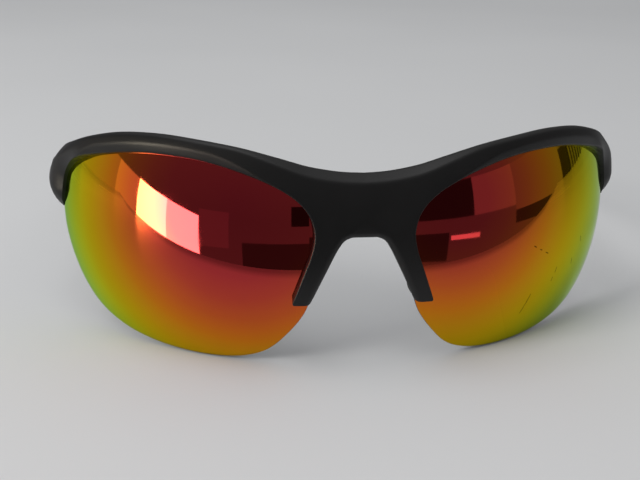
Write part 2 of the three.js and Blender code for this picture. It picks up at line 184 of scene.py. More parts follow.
def route(knots, shares):
    """Points on the centripetal curve through knots that stand at even shares of it."""
    knots = np.array(knots, float)
    knots = np.vstack([2 * knots[0] - knots[1], knots, 2 * knots[-1] - knots[-2]])
    spot = np.clip(shares, 0, 1) * (len(knots) - 3)
    first = np.minimum(spot.astype(int), len(knots) - 4)
    a, b, c, d = (knots[first + i] for i in range(4))
    spans = ((a, b), (b, c), (c, d))
    ab, bc, cd = (np.sqrt(np.linalg.norm(end - start, axis=1))[:, None] for start, end in spans)
    leave = bc * ((b - a) / ab - (c - a) / (ab + bc) + (c - b) / bc)
    arrive = bc * ((c - b) / bc - (d - b) / (bc + cd) + (d - c) / cd)
    return hermite(b, c, leave, arrive, (spot - first)[:, None])


def between(values, shares):
    """Values that stand at even shares, joined smoothly."""
    values = np.array(values, float)
    spot = np.clip(shares, 0, 1) * (len(values) - 1)
    first = np.minimum(spot.astype(int), len(values) - 2)
    t = smoothstep(spot - first, 0, 1)
    return values[first] * (1 - t) + values[first + 1] * t


# ---------- mesh helpers ----------

def mesh_object(name, points, faces, sharp=35.0, materials=(), face_slots=None):
    """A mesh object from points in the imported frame, smooth up to edges of sharp degrees."""
    mesh = bpy.data.meshes.new(name)
    mesh.from_pydata([tuple(p) for p in points], [], [tuple(int(i) for i in f) for f in faces])
    body = bmesh.new()
    body.from_mesh(mesh)
    bmesh.ops.recalc_face_normals(body, faces=body.faces)
    body.to_mesh(mesh)
    body.free()
    for material in materials:
        mesh.materials.append(material)
    if face_slots is not None:
        mesh.polygons.foreach_set("material_index", face_slots)
    finish_shading(mesh, sharp)
    made = bpy.data.objects.new(name, mesh)
    bpy.context.scene.collection.objects.link(made)
    return made


def finish_shading(mesh, sharp):
    mesh.polygons.foreach_set("use_smooth", [True] * len(mesh.polygons))
    mesh.set_sharp_from_angle(angle=math.radians(sharp))
    mesh.update()


def mirror(points):
    return np.asarray(points) * np.array([-1, 1, 1])


def ring_faces(first, second, closed=True):
    """Quads between two rings of vertex numbers."""
    count = len(first)
    return [
        (first[i], first[(i + 1) % count], second[(i + 1) % count], second[i])
        for i in range(count if closed else count - 1)
    ]


def lofted(rings, closed_ends=True):
    """Points and faces of a skin over equal rings of points; the ends close in a fan."""
    count = len(rings[0])
    points = np.concatenate(rings)
    numbers = [np.arange(count) + i * count for i in range(len(rings))]
    faces = []
    for a, b in zip(numbers, numbers[1:]):
        faces += ring_faces(a, b)
    if closed_ends:
        for ring in (numbers[0], numbers[-1]):
            points = np.vstack([points, points[ring].mean(0)])
            hub = len(points) - 1
            faces += [(ring[i], ring[(i + 1) % count], hub) for i in range(count)]
    return points, faces


def apply_modifiers(made):
    graph = bpy.context.evaluated_depsgraph_get()
    result = bpy.data.meshes.new_from_object(made.evaluated_get(graph))
    old = made.data
    made.modifiers.clear()
    made.data = result
    result.name = made.name
    bpy.data.meshes.remove(old)


def box_object(name, low, high):
    body = bmesh.new()
    bmesh.ops.create_cube(body, size=1)
    low, high = Vector(place(low)), Vector(place(high))
    size = high - low
    for vertex in body.verts:
        vertex.co = (low + high) / 2 + Vector(vertex.co[i] * size[i] for i in range(3))
    mesh = bpy.data.meshes.new(name)
    body.to_mesh(mesh)
    body.free()
    made = bpy.data.objects.new(name, mesh)
    bpy.context.scene.collection.objects.link(made)
    return made


def cut(made, cutters):
    """Takes the cutter objects out of a piece, and removes them."""
    for cutter in cutters:
        modifier = made.modifiers.new("cut", "BOOLEAN")
        modifier.operation = "DIFFERENCE"
        modifier.solver = "EXACT"
        modifier.object = cutter
    bpy.context.view_layer.update()
    apply_modifiers(made)
    for cutter in cutters:
        bpy.data.objects.remove(cutter)


# ---------- material helpers ----------

class Nodes:
    """A material's node tree with short ways to add and join nodes."""

    def __init__(self, name):
        self.material = bpy.data.materials.new(name)
        self.material.use_nodes = True
        self.tree = self.material.node_tree
        self.shader = self.tree.nodes["Principled BSDF"]
        self.place = self.add("ShaderNodeTexCoord").outputs["Object"]

    def add(self, kind, **settings):
        node = self.tree.nodes.new(kind)
        for key, value in settings.items():
            setattr(node, key, value)
        return node

    def join(self, start, end):
        self.tree.links.new(start, end)

    def set(self, **values):
        for name, value in values.items():
            self.shader.inputs[name.replace("_", " ")].default_value = value

    def math(self, operation, first, second=0.0):
        node = self.add("ShaderNodeMath", operation=operation)
        for socket, value in zip(node.inputs, (first, second)):
            if isinstance(value, (int, float)):
                socket.default_value = value
            else:
                self.join(value, socket)
        return node.outputs[0]

    def vector(self, operation, first, second=None):
        node = self.add("ShaderNodeVectorMath", operation=operation)
        for socket, value in zip(node.inputs, (first, second)):
            if isinstance(value, (tuple, Vector)):
                socket.default_value = tuple(value)
            elif value is not None:
                self.join(value, socket)
        return node

    def noise(self, scale, detail=3.0, stretch=(1, 1, 1)):
        spread = self.vector("MULTIPLY", self.place, stretch).outputs[0]
        node = self.add("ShaderNodeTexNoise")
        node.inputs["Scale"].default_value = scale
        node.inputs["Detail"].default_value = detail
        self.join(spread, node.inputs["Vector"])
        return node.outputs["Fac"]

    def ramp(self, value, stops):
        """stops: (position, colour)."""
        node = self.add("ShaderNodeValToRGB")
        elements = node.color_ramp.elements
        while len(elements) < len(stops):
            elements.new(0.5)
        for element, (position, colour) in zip(elements, stops):
            element.position = position
            element.color = (*colour, 1)
        self.join(value, node.inputs["Fac"])
        return node.outputs["Color"]

    def range(self, value, low, high, to_low, to_high):
        node = self.add("ShaderNodeMapRange")
        limits = {"From Min": low, "From Max": high, "To Min": to_low, "To Max": to_high}
        for name, number in limits.items():
            node.inputs[name].default_value = number
        self.join(value, node.inputs["Value"])
        return node.outputs["Result"]

    def colour(self, value, stops):
        self.join(self.ramp(value, stops), self.shader.inputs["Base Color"])

    def roughness(self, value, low, high):
        self.join(self.range(value, 0.3, 0.7, low, high), self.shader.inputs["Roughness"])

    def bump(self, value, strength, distance):
        node = self.add("ShaderNodeBump")
        node.inputs["Strength"].default_value = strength
        node.inputs["Distance"].default_value = distance
        self.join(value, node.inputs["Height"])
        self.join(node.outputs["Normal"], self.shader.inputs["Normal"])


# ---------- materials ----------

def frame_plastic():
    """Satin moulded nylon, charcoal black, with a very fine grain and faint rubbed patches."""
    nodes = Nodes("frame_plastic")
    patches = nodes.noise(45, 4)
    grain = nodes.noise(2600, 2)
    nodes.colour(patches, [(0.3, (0.0042, 0.0040, 0.0044)), (0.7, (0.0080, 0.0076, 0.0080))])
    nodes.roughness(patches, 0.38, 0.48)
    nodes.bump(grain, 0.12, 0.00005)
    nodes.set(Specular_IOR_Level=0.35)
    return nodes.material


def rubber():
    """Matt elastomer: slightly warm black, dull and dusty in the hollows."""
    nodes = Nodes("rubber")
    patches = nodes.noise(90, 5)
    grain = nodes.noise(1700, 3)
    nodes.colour(patches, [(0.3, (0.011, 0.011, 0.012)), (0.7, (0.023, 0.022, 0.022))])
    nodes.roughness(patches, 0.66, 0.82)
    nodes.bump(grain, 0.25, 0.00008)
    nodes.set(Specular_IOR_Level=0.35)
    return nodes.material


def brushed_steel():
    nodes = Nodes("brushed_steel")
    streaks = nodes.noise(900, 3, (0.15, 0.15, 4))
    nodes.colour(streaks, [(0.25, (0.42, 0.43, 0.45)), (0.75, (0.62, 0.63, 0.65))])
    nodes.roughness(streaks, 0.24, 0.40)
    nodes.bump(streaks, 0.15, 0.00004)
    nodes.set(Metallic=1.0)
    return nodes.material


def lens_back():
    """The uncoated side and rim of a lens: dark smoke polycarbonate."""
    nodes = Nodes("lens_smoke")
    haze = nodes.noise(60, 3)
    nodes.colour(haze, [(0.3, (0.010, 0.009, 0.010)), (0.7, (0.022, 0.016, 0.015))])
    nodes.roughness(haze, 0.05, 0.10)
    nodes.set(Specular_IOR_Level=0.55)
    return nodes.material


# The mirror coat's colour, by degrees between the surface and the coat's middle.
COAT_STOPS = [
    (0, (0.42, 0.030, 0.042)), (15, (0.46, 0.040, 0.042)), (20, (0.52, 0.062, 0.036)),
    (25, (0.60, 0.11, 0.025)), (28, (0.65, 0.16, 0.018)), (31, (0.67, 0.22, 0.012)),
    (34.5, (0.66, 0.31, 0.010)), (38, (0.64, 0.39, 0.006)), (41, (0.62, 0.46, 0.006)),
    (43.5, (0.59, 0.54, 0.008)), (46, (0.52, 0.58, 0.014)), (48.7, (0.42, 0.60, 0.030)),
    (54, (0.20, 0.50, 0.12)), (60, (0.11, 0.40, 0.22)),
]
COAT_END = 60.0
RINGS_WIDEN_FROM = 19.0

# Scratches in the right lens's coat, as front-view (X, Z) ends. Most ends were rounded from a
# program that projected the photo's scratches onto the lens.
SCRATCHES = [
    ((55.2, 22.6), (55.6, 21.0)), ((52.8, 17.8), (52.9, 16.2)), ((47.6, 17.5), (47.2, 16.1)),
    ((46.8, 15.1), (46.4, 14.0)), ((40.6, 12.5), (38.4, 7.6)), ((39.6, 25.0), (40.3, 24.5)),
    ((41.4, 23.8), (42.0, 23.4)), ((43.2, 22.6), (44.0, 22.1)),
]
SCRATCH_WIDTH = 0.22
SCRATCH_DARKNESS = 0.85


def ball_direction(x, z):
    """From the right lens's ball centre to the point of the lens at a front-view (X, Z)."""
    across, up = x - BALL_X, z - BALL_Z
    return Vector((across, -math.sqrt(LENS_RADIUS ** 2 - across ** 2 - up ** 2), up)) / LENS_RADIUS


def scratch_mask(nodes, outward, scratches):
    """One on the scratches, nothing elsewhere."""
    mask = 0.0
    for start, end in scratches:
        first, last = ball_direction(*start), ball_direction(*end)
        sideways = first.cross(last).normalized()
        middle = (first + last).normalized()
        slant = nodes.vector("DOT_PRODUCT", outward, sideways).outputs["Value"]
        off = nodes.math("ABSOLUTE", slant)
        thin = nodes.math("LESS_THAN", off, SCRATCH_WIDTH / 2 / LENS_RADIUS)
        level = nodes.vector("DOT_PRODUCT", outward, middle).outputs["Value"]
        near = nodes.math("GREATER_THAN", level, first.dot(middle))
        mask = nodes.math("MAXIMUM", nodes.math("MULTIPLY", thin, near), mask)
    return mask


def mirror_coat(side, middle, offset, slowing, scratches):
    """A multi-layer mirror coat whose colour runs in rings about a middle direction.

    The rings start offset degrees further on, and widen outwards as slowing grows.
    """
    nodes = Nodes(f"mirror_coat_{side}")
    sign = 1 if side == "right" else -1
    centre = Vector(place((sign * BALL_X, BALL_Y, BALL_Z)))
    axis = Vector(middle).normalized()
    outward = nodes.vector("NORMALIZE", nodes.vector("SUBTRACT", nodes.place, centre).outputs[0])
    level = nodes.vector("DOT_PRODUCT", outward.outputs[0], axis).outputs["Value"]
    degrees = nodes.math("MULTIPLY", nodes.math("ARCCOSINE", level), 180 / math.pi)
    waver = nodes.range(nodes.noise(22, 2), 0.3, 0.7, offset - 0.5, offset + 0.5)
    beyond = nodes.math("MAXIMUM", nodes.math("SUBTRACT", degrees, RINGS_WIDEN_FROM), 0.0)
    lag = nodes.math("MULTIPLY", nodes.math("MULTIPLY", beyond, beyond), slowing)
    ring = nodes.math("SUBTRACT", nodes.math("ADD", degrees, waver), lag)
    share = nodes.math("DIVIDE", ring, COAT_END)
    rings = nodes.ramp(share, [(angle / COAT_END, colour) for angle, colour in COAT_STOPS])
    marks = scratch_mask(nodes, outward.outputs[0], scratches)
    wear = nodes.math("MULTIPLY", marks, SCRATCH_DARKNESS)
    wear_and_shade = nodes.vector("SCALE", rings)
    nodes.join(nodes.math("SUBTRACT", 1.0, wear), wear_and_shade.inputs["Scale"])
    nodes.join(wear_and_shade.outputs[0], nodes.shader.inputs["Base Color"])
    nodes.roughness(nodes.noise(130, 4), 0.015, 0.06)
    nodes.set(Metallic=1.0, Specular_Tint=(0.80, 0.95, 0.55, 1))
    return nodes.material


TABLE_EDGE_Y = -0.132
TABLE_SHADE_TO_Y = -0.106        # painted shade darkens the table top from its near edge to here


def table_top():
    """The glossy table that the lenses see, with painted shade darkening it along its near edge."""
    nodes = Nodes("table_top")
    clouds = nodes.noise(3, 2)
    split = nodes.add("ShaderNodeSeparateXYZ")
    nodes.join(nodes.place, split.inputs[0])
    # painted shade: the colour darkens towards the table's near edge
    wear_and_shade = nodes.range(split.outputs["Y"], TABLE_EDGE_Y, TABLE_SHADE_TO_Y, -0.75, 0.0)
    nodes.colour(nodes.math("ADD", clouds, wear_and_shade), [
        (0.0, (0.34, 0.35, 0.36)), (0.3, (0.70, 0.71, 0.725)), (0.7, (0.74, 0.75, 0.765)),
    ])
    nodes.roughness(clouds, 0.24, 0.28)
    nodes.set(Specular_IOR_Level=0.5)
    return nodes.material


def floor_paint():
    """Plain matt paint, very slightly cloudy."""
    nodes = Nodes("floor_paint")
    clouds = nodes.noise(3, 2)
    nodes.colour(clouds, [(0.3, (0.70, 0.71, 0.725)), (0.7, (0.74, 0.75, 0.765))])
    nodes.roughness(clouds, 0.60, 0.70)
    nodes.set(Specular_IOR_Level=0.0)
    return nodes.material


FRAME_PLASTIC = frame_plastic()
RUBBER = rubber()
STEEL = brushed_steel()
LENS_SMOKE = lens_back()
# The two coats differ in their middles, offset and slowing, to match the photo from its own angle.
COATS = {
    "left": mirror_coat("left", (-0.235, -0.944, 0.233), 0.0, 0.0, []),
    "right": mirror_coat("right", (0.112, -0.965, 0.238), 6.5, 0.0092, SCRATCHES),
}


# ---------- the wrapped front surface ----------

def unroll(points):
    """Front-view (X, Z) to the unrolled front: arc length along the wrap, and height."""
    x, z = np.array(points, float).T
    level = np.sqrt(FRONT_RADIUS ** 2 - (z - BALL_Z) ** 2)
    angle = np.arcsin(np.clip((x - BALL_X) / level, 0, 1))
    arc = np.where(x <= BALL_X, x, BALL_X + FRONT_RADIUS * angle)
    return np.stack([arc, z], 1)


def unroll_side(points):
    """Side-view (Y, Z) on the wrapped part to arc length and height."""
    y, z = np.array(points, float).T
    level = np.sqrt(FRONT_RADIUS ** 2 - (z - BALL_Z) ** 2)
    return np.stack([BALL_X + FRONT_RADIUS * np.arccos((BALL_Y - y) / level), z], 1)


def lift(reach):
    """How far the outer face stands off the ball at an arc length from the middle."""
    angle = np.degrees(np.maximum(0, reach - BALL_X) / FRONT_RADIUS)
    rises = (LUG_SWELL, LUG_TUCK)
    return sum(height * smoothstep(angle, start, end) for height, start, end in rises)


def wrap(arc, z, depth):
    """Unrolled place and depth under the front face to a point in space."""
    reach = np.abs(arc)
    angle = np.maximum(0, reach - BALL_X) / FRONT_RADIUS
    level = np.sqrt(FRONT_RADIUS ** 2 - (z - BALL_Z) ** 2)
    shrink = 1 - (depth - lift(reach)) / FRONT_RADIUS
    x = np.minimum(reach, BALL_X) + level * np.sin(angle) * shrink
    y = BALL_Y - level * np.cos(angle) * shrink
    return np.stack([np.sign(arc) * x, y, BALL_Z + (z - BALL_Z) * shrink], 1)


# ---------- front ----------

OUTLINE_STEP = 0.6
# Distances from the edge where the front's skin has a ring of points.
RINGS = [0.06, 0.15, 0.28, 0.45, 0.65, 0.9, 1.15, 1.4, 1.7, 2.0, 2.3, 2.7, 3.1]
INNER_GRID = 0.9
SOFTNESS = 0.13                 # how far a crease on the front face is rounded
EDGE_ROUND = 0.35
NOSE_ROUND = 1.5
LOW_ROUND = 0.8
BACK_ROUND = 0.7
TOP_CHAMFER = (0.75, 1.35)      # width along the brow, and how much more over the bridge
TOP_CHAMFER_SLOPE = 0.9
LENS_CHAMFER = 1.75
LENS_CHAMFER_SLOPE = 0.55
FADE = 0.4                      # a chamfer narrower than this fades out


def front_edges():
    """The right half's edges in the unrolled plane: top, lower lug, lens edge and nose edge."""
    top = spline(np.vstack([unroll(TOP_EDGE), unroll_side(LUG_TOP)]), OUTLINE_STEP)
    low = spline(unroll_side(LUG_LOW), OUTLINE_STEP)
    lens = spline(unroll(LENS_EDGE), OUTLINE_STEP)
    nose = spline(unroll(NOSE_EDGE), OUTLINE_STEP)
    return top, low, lens, nose


def rounded_corner(before, after, radius, count=5):
    """The two curves, with a round corner in place of the point where they meet or nearly meet."""
    start, end = before[-1], after[0]
    corner = (start + end) / 2
    back = before[np.linalg.norm(before - corner, axis=1) > radius]
    ahead = after[np.linalg.norm(after - corner, axis=1) > radius]
    first, last = back[-1], ahead[0]
    ts = (np.arange(count) + 1) / (count + 1)
    arc = [(1 - t) ** 2 * first + 2 * t * (1 - t) * corner + t * t * last for t in ts]
    return back, np.array(arc), ahead


def distance_to(points, line):
    """Distance from each point to a polyline."""
    start, span = line[:-1], np.diff(line, axis=0)
    length = (span ** 2).sum(1)
    nearest = np.full(len(points), np.inf)
    for first in range(0, len(points), 2000):
        some = points[first:first + 2000, None, :] - start[None]
        t = np.clip((some * span[None]).sum(2) / length, 0, 1)
        gap = np.linalg.norm(some - t[..., None] * span[None], axis=2)
        nearest[first:first + 2000] = gap.min(1)
    return nearest


def inside(points, outline):
    x, z = points.T
    crossing = np.zeros(len(points), bool)
    for (x0, z0), (x1, z1) in zip(outline, np.roll(outline, -1, axis=0)):
        if z0 == z1:
            continue
        hit = ((z0 > z) != (z1 > z)) & (x < (x1 - x0) * (z - z0) / (z1 - z0) + x0)
        crossing ^= hit
    return crossing


def inward_normals(outline):
    ahead, behind = np.roll(outline, -1, axis=0), np.roll(outline, 1, axis=0)
    tangent = ahead - behind
    tangent /= np.linalg.norm(tangent, axis=1)[:, None]
    return np.stack([tangent[:, 1], -tangent[:, 0]], 1)


def skin_points(outline):
    """Points inside an outline: rings that follow its edge, then an even grid."""
    closed = np.vstack([outline, outline[:1]])
    normals = inward_normals(outline)
    found = []
    for ring in RINGS:
        moved = outline + normals * ring
        keep = inside(moved, outline) & (distance_to(moved, closed) > ring * 0.97)
        found.append(moved[keep])
    low, high = outline.min(0), outline.max(0)
    columns = np.arange(low[0], high[0], INNER_GRID)
    rows = np.arange(low[1], high[1], INNER_GRID * 0.87)
    grid = np.array([
        (x + (j % 2) * INNER_GRID / 2, z) for x in columns for j, z in enumerate(rows)
    ])
    grid = grid[inside(grid, outline)]
    grid = grid[distance_to(grid, closed) > RINGS[-1] + 0.4]
    return np.vstack(found + [grid])


def fillet(distance, radius):
    """Depth of a quarter-round edge at a distance in from the edge."""
    left = np.clip(radius - distance, 0, radius)
    return radius - np.sqrt(radius ** 2 - left ** 2)


def chamfer(distance, width, slope):
    """Depth of a flat bevel of a width and slope, with a softened upper crease."""
    left = (width - distance) / SOFTNESS
    return slope * SOFTNESS * np.logaddexp(0, left)


def crown(distance, height, width):
    """Depth of a face that curves away over its last width before an edge."""
    return height * np.clip(1 - distance / width, 0, 1) ** 2


def front_face_depth(points, edges):
    """How far the front face lies under the wrap's surface at points of the unrolled front."""
    top, low, lens, nose = edges
    reach = np.abs(points[:, 0])
    bridge = 1 - smoothstep(reach, 9, 30)
    lug = smoothstep(reach, 69, 86)
    brow_width, extra_width = TOP_CHAMFER
    top_width = (brow_width + extra_width * bridge) * (1 - lug)
    lens_width = LENS_CHAMFER * smoothstep(reach, 16, 34) * (1 - smoothstep(reach, 66, 78))
    mirrored = np.stack([reach, points[:, 1]], 1)
    from_top = distance_to(mirrored, top)
    from_low = distance_to(mirrored, low)
    from_lens = distance_to(mirrored, lens)
    from_nose = distance_to(mirrored, nose)
    top_bevel = chamfer(from_top, top_width, TOP_CHAMFER_SLOPE)
    lens_bevel = chamfer(from_lens, lens_width, LENS_CHAMFER_SLOPE)
    parts = [
        top_bevel * smoothstep(top_width, 0, FADE) + fillet(from_top, EDGE_ROUND),
        lens_bevel * smoothstep(lens_width, 0, FADE) + fillet(from_lens, EDGE_ROUND),
        fillet(from_nose, NOSE_ROUND),
        smoothstep(reach, 66, 92) * crown(from_top, LUG_CROWN, 5.5),
        lug * crown(from_lens, LUG_CROWN, 5.5),
        lug * crown(from_low, 1.25 * LUG_CROWN, 6.5) + fillet(from_low, LOW_ROUND),
    ]
    depth = np.linalg.norm(np.stack(parts), ord=3, axis=0)
    flush = FRONT_RADIUS - LENS_RADIUS - LENS_STEP + lift(reach)
    return np.minimum(depth, flush + from_lens)


def front_outline(edges):
    """The whole closed outline, clockwise from the middle of the top edge, with round corners."""
    top, low, lens, nose = edges
    low, tip, lens = rounded_corner(low, lens, 0.5)
    arm_end = np.linspace(lens[-1], nose[0], 12)
    lens, arm_outer, arm_end = rounded_corner(lens, arm_end, 0.7)
    arm_end, arm_inner, nose = rounded_corner(arm_end, nose, 0.5)
    right = np.vstack([top, low, tip, lens, arm_outer, arm_end, arm_inner, nose])
    left = mirrored_outline(right)
    return np.vstack([right, left])


def mirrored_outline(right):
    return right[1:][::-1] * np.array([-1, 1])


def plate_mesh(outline, edges):
    """The moulded front: one triangulated skin, used twice, and a wall between the two."""
    spots = np.vstack([outline, skin_points(outline)])
    count = len(outline)
    ring = list(range(count))
    edge_list = [(i, (i + 1) % count) for i in ring]
    verts, _, triangles, *_ = delaunay_2d_cdt([Vector(p) for p in spots], edge_list, [], 1, 1e-6)
    flat = np.array([tuple(v) for v in verts])
    if len(flat) != len(spots):
        raise ValueError("two skin points fell together")
    from_edge = distance_to(flat, np.vstack([outline, outline[:1]]))
    front_depth = front_face_depth(flat, edges)
    thicker = LUG_THICKER * smoothstep(np.abs(flat[:, 0]), 78, 90)
    back_depth = FRONT_DEPTH + thicker - fillet(from_edge, BACK_ROUND)
    front = wrap(flat[:, 0], flat[:, 1], front_depth)
    back = wrap(flat[:, 0], flat[:, 1], back_depth)
    points = [front, back]
    faces = [tuple(t) for t in triangles]
    faces += [tuple(i + len(flat) for i in reversed(t)) for t in triangles]
    walls = [np.arange(count)]
    rim = flat[:count]
    for share in (0.2, 0.4, 0.6, 0.8):
        depth = front_depth[:count] * (1 - share) + back_depth[:count] * share
        walls.append(np.arange(count) + sum(len(p) for p in points))
        points.append(wrap(rim[:, 0], rim[:, 1], depth))
    walls.append(np.arange(count) + len(flat))
    for a, b in zip(walls, walls[1:]):
        faces += ring_faces(a, b)
    return np.vstack(points), faces


def front_cutters():
    """Blocks that square off the lug ends and sink the hinge leaves' seats."""
    cutters = []
    for sign in (1, -1):
        for name, x0, x1, y0, y1, z0, z1 in (
            ("lug_end", 55, 80, LUG_END_Y, 60, 20, 42),
            ("leaf_seat", 60, LUG_INNER_X, SEAT_START_Y, 60, SEAT_LOW, SEAT_HIGH),
        ):
            a, b = sorted((sign * x0, sign * x1))
            cutters.append(box_object(f"{name}_cutter", (a, y0, z0), (b, y1, z1)))
    return cutters


def make_front():
    edges = front_edges()
    points, faces = plate_mesh(front_outline(edges), edges)
    made = mesh_object("front_moulding", place(points), faces, 40, [FRAME_PLASTIC])
    cut(made, front_cutters())
    finish_shading(made.data, 40)
    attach(made, "front")
    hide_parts("front_frame")
    return made


# ---------- lenses ----------

LENS_RINGS = 36


def lens_rings():
    """Rings of the right lens: those of its coated face, and those of its rim and back."""
    outline = spline(LENS_OUTLINE + LENS_OUTLINE[:1], 0.7)[:-1]
    centre = np.array([BALL_X, BALL_Y, BALL_Z])

    def direction(x, z):
        side = np.stack([x - BALL_X, np.zeros_like(x), z - BALL_Z], 1)
        side[:, 1] = -np.sqrt(LENS_RADIUS ** 2 - (side ** 2).sum(1))
        return side / LENS_RADIUS

    rim = direction(outline[:, 0], outline[:, 1])
    middle = direction(np.array([LENS_MIDDLE[0]]), np.array([LENS_MIDDLE[1]]))
    angle = np.arccos(np.clip(rim @ middle[0], -1, 1))[:, None]

    def ring(share, inset, radius):
        part = angle * share - inset / LENS_RADIUS
        toward = np.sin(angle - part) * middle + np.sin(part) * rim
        return centre + radius * toward / np.sin(angle)

    inner = LENS_RADIUS - LENS_THICKNESS
    shares = np.arange(1, LENS_RINGS + 1) / LENS_RINGS
    bend = np.radians([0, 30, 60, 90])
    r = LENS_EDGE_ROUND
    face = [ring(s, r, LENS_RADIUS) for s in shares]
    face_edge = [
        ring(1, r * (1 - math.sin(a)), LENS_RADIUS - r * (1 - math.cos(a))) for a in bend[1:]
    ]
    wall = [ring(1, 0, LENS_RADIUS - r - t * (LENS_THICKNESS - 2 * r)) for t in (0.33, 0.67)]
    back_edge = [
        ring(1, r * (1 - math.sin(a)), inner + r * (1 - math.cos(a))) for a in bend[:0:-1]
    ]
    back = [ring(s, r, inner) for s in shares[::-1]]
    return face, face_edge + wall + back_edge + back


def make_lens(side):
    face, rest = lens_rings()
    points, faces = lofted(face + rest)
    if side == "left":
        points = mirror(points)
    count = len(face[0])
    coated = (len(face) + 1) * count
    fans = len(faces) - 2 * count
    slots = [0 if i < coated - count or fans <= i < fans + count else 1 for i in range(len(faces))]
    materials = [COATS[side], LENS_SMOKE]
    made = mesh_object(f"lens_shell_{side}", place(points), faces, 50, materials, slots)
    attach(made, "front")
    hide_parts(f"lens_{side}")
    return made


# ---------- temples, ear grips and nose pads ----------

def section(count, outer, inner):
    """A closed loop within +-1; each side is an ellipse at squareness 2, and boxier above that."""
    turn = 2 * math.pi * np.arange(count) / count
    across, up = np.cos(turn), np.sin(turn)
    power = 2 / np.where(across > 0, outer, inner)
    return np.sign(across) * np.abs(across) ** power, np.sign(up) * np.abs(up) ** power


def swept(centres, across, up, loop, widths, heights):
    """Rings of a section carried along centres, for lofted()."""
    return [
        centre + np.outer(loop[0] * width / 2, a) + np.outer(loop[1] * height / 2, u)
        for centre, a, u, width, height in zip(centres, across, up, widths, heights)
    ]


def temple_rings(shares, loop, inset, widths=None, heights=None):
    centres = route(TEMPLE_PATH, shares)
    ahead = route(TEMPLE_PATH, shares + 0.002) - route(TEMPLE_PATH, shares - 0.002)
    across = np.stack([ahead[:, 1], -ahead[:, 0], np.zeros(len(shares))], 1)
    across /= np.linalg.norm(across, axis=1)[:, None]
    up = np.tile([0.0, 0.0, 1.0], (len(shares), 1))
    widths = between(TEMPLE_WIDTHS, shares) if widths is None else widths
    heights = between(TEMPLE_HEIGHTS, shares) if heights is None else heights
    return swept(centres, across, up, loop, widths - 2 * inset, heights - 2 * inset)


def add_side_piece(name, side, points, faces, material, slot, body, sharp=40.0):
    if side == "left":
        points = mirror(points)
    made = mesh_object(f"{name}_{side}", place(points), faces, sharp, [material])
    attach(made, body)
    return made


ROUND_END = np.radians([0, 18, 36, 54, 72, 90])
END_RADIUS = 0.5
SHARE_PER_MM = 0.0092           # about one millimetre of the temple's path


def make_temple(side):
    """A D-shaped arm, flat towards the head, whose rear end steps down to the grip's tang."""
    bend = END_RADIUS * (1 - np.sin(ROUND_END))
    run = END_RADIUS * (1 - np.cos(ROUND_END)) * SHARE_PER_MM
    body = np.linspace(run[-1], GRIP_START - run[-1], 90)[1:-1]
    shares = np.concatenate([run, body, GRIP_START - run[::-1]])
    inset = np.concatenate([bend, np.zeros(len(body)), bend[::-1]])
    loop = section(56, 2.3, 5.0)
    tang = np.array([GRIP_START, GRIP_START + 0.02])
    rings = temple_rings(shares, loop, inset)
    rings += temple_rings(tang, loop, 0, np.full(2, TANG_WIDTH), np.full(2, TANG_HEIGHT))
    body_name = f"temple_arm_{side}"
    points, faces = lofted(rings)
    made = add_side_piece(
        "temple_arm_shell", side, points, faces, FRAME_PLASTIC, "frame", body_name,
    )
    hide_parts(f"temple_{side}")
    points, faces = soft_box(*LEAF_SEAT, LEAF_SEAT_ROUND)
    add_side_piece("temple_leaf_seat", side, points, faces, FRAME_PLASTIC, "frame", body_name)


def soft_box(low, high, radius):
    """A block with round edges: a box section swept up between two rounded ends."""
    low, high = np.array(low), np.array(high)
    middle, size = (low + high) / 2, high - low
    turn = np.linspace(0, math.pi / 2, 6)
    narrowing = radius * (1 - np.sin(turn))
    from_end = radius * (1 - np.cos(turn))
    inset = np.concatenate([narrowing, narrowing[::-1]])
    rise = np.concatenate([from_end, size[2] - from_end[::-1]])
    centres = np.array([(middle[0], middle[1], low[2] + r) for r in rise])
    ones = np.ones((len(rise), 1))
    rings = swept(
        centres, ones * [1, 0, 0], ones * [0, 1, 0], section(40, 9.0, 9.0),
        size[0] - 2 * inset, size[1] - 2 * inset,
    )
    return lofted(rings)


GRIP_TIP_START = 0.925
GRIP_RIB_PITCH = 1.7
GRIP_RIB_HEIGHT = 0.16
GRIP_RIBS_FROM = (7, 9)         # the ribs fade in over this length from the collar
GRIP_RIBS_TO = (36, 38)


def make_grip(side):
    """A soft ear sock with a collar, a field of fine ribs and a round tip."""
    start = GRIP_START + BUTT_GAP
    body = np.linspace(start + 0.006, GRIP_TIP_START, 260)
    tip = GRIP_TIP_START + (1 - GRIP_TIP_START) * np.sin(np.linspace(0.05, 1, 16) * math.pi / 2)
    closing = np.cos(np.linspace(0.05, 0.985, 16) * math.pi / 2)
    run = start + END_RADIUS * (1 - np.cos(ROUND_END)) * SHARE_PER_MM
    shares = np.concatenate([run, body, tip])
    centres = route(TEMPLE_PATH, shares)
    length = np.concatenate([[0], np.cumsum(np.linalg.norm(np.diff(centres, axis=0), axis=1))])
    wave = 0.5 - 0.5 * np.cos(2 * math.pi * length / GRIP_RIB_PITCH)
    field = smoothstep(length, *GRIP_RIBS_FROM) * (1 - smoothstep(length, *GRIP_RIBS_TO))
    inset = GRIP_RIB_HEIGHT * field * wave ** 2
    inset[:len(run)] += END_RADIUS * (1 - np.sin(ROUND_END))
    scale = np.ones(len(shares))
    scale[-len(tip):] = closing
    widths = between(TEMPLE_WIDTHS, shares) * scale
    heights = between(TEMPLE_HEIGHTS, shares) * scale
    inset = np.minimum(inset, widths / 3)
    rings = temple_rings(shares, section(48, 2.5, 3.0), inset, widths, heights)
    made = add_side_piece(
        "ear_grip", side, *lofted(rings), RUBBER, "rubber", f"temple_arm_{side}",
    )
    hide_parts(f"temple_grip_{side}")


